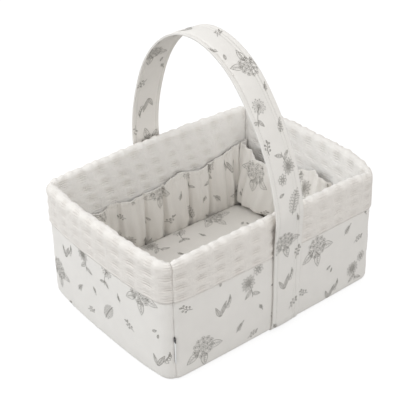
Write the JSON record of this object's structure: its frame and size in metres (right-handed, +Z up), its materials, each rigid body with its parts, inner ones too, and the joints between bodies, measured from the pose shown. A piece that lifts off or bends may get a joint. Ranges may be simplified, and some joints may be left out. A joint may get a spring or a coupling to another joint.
{
  "type": "layette basket",
  "caption": "Soft rectangular layette basket with a turned-over cuff, gathered inner pockets, a padded lift-out base and one tall strap handle.",
  "frame": {"origin": "middle of the underside, on the surface that the basket stands on", "axes": "+X along the long walls, +Y from the front long wall to the back one, +Z up"},
  "size_m": [0.3744, 0.2924, 0.3667],
  "materials": {
    "printed_cotton": "off-white printed cotton, matte",
    "waffle_cloth": "cream waffle cloth, puffy and matte",
    "plain_cotton": "plain off-white cotton, matte",
    "wadding": "white polyester wadding and foam",
    "card": "stiff pressed card, matte",
    "elastic_web": "white woven elastic and webbing",
    "label_tape": "white woven tape, left blank"
  },
  "bodies": {
    "basket": {"front_panel": "printed_cotton", "front_cuff": "waffle_cloth", "front_wadding": "wadding", "front_board": "card", "front_pocket": "printed_cotton", "front_pocket_elastic": "elastic_web", "right_panel": "printed_cotton", "right_cuff": "waffle_cloth", "right_wadding": "wadding", "right_board": "card", "right_pocket": "printed_cotton", "right_pocket_elastic": "elastic_web", "back_panel": "printed_cotton", "back_cuff": "waffle_cloth", "back_wadding": "wadding", "back_board": "card", "back_pocket": "printed_cotton", "back_pocket_elastic": "elastic_web", "left_panel": "printed_cotton", "left_cuff": "waffle_cloth", "left_wadding": "wadding", "left_board": "card", "left_pocket": "printed_cotton", "left_pocket_elastic": "elastic_web", "bottom_panel": "printed_cotton", "base_board": "card", "base_lining": "plain_cotton", "front_strap_cover": "printed_cotton", "front_strap_core": "elastic_web", "back_strap_cover": "printed_cotton", "back_strap_core": "elastic_web", "side_label": "label_tape"},
    "handle": {"handle_outer_face": "printed_cotton", "handle_core": "elastic_web", "handle_inner_face": "printed_cotton"},
    "base_insert": {"base_insert_board": "card", "base_insert_foam": "wadding", "base_insert_cover": "printed_cotton"}
  },
  "joints": [
    {"name": "handle_tilt", "type": "hinge", "parent": "basket", "child": "handle", "pos_m": [0.0023, 0, 0.172], "axis": [-0.0327, 0.9995, 0], "range_deg": [-60, 60], "stiffness_Nm_per_rad": 0.3},
    {"name": "base_insert_lift", "type": "slide", "parent": "basket", "child": "base_insert", "axis": [0, 0, 1], "range_m": [0, 0.175]}
  ]
}
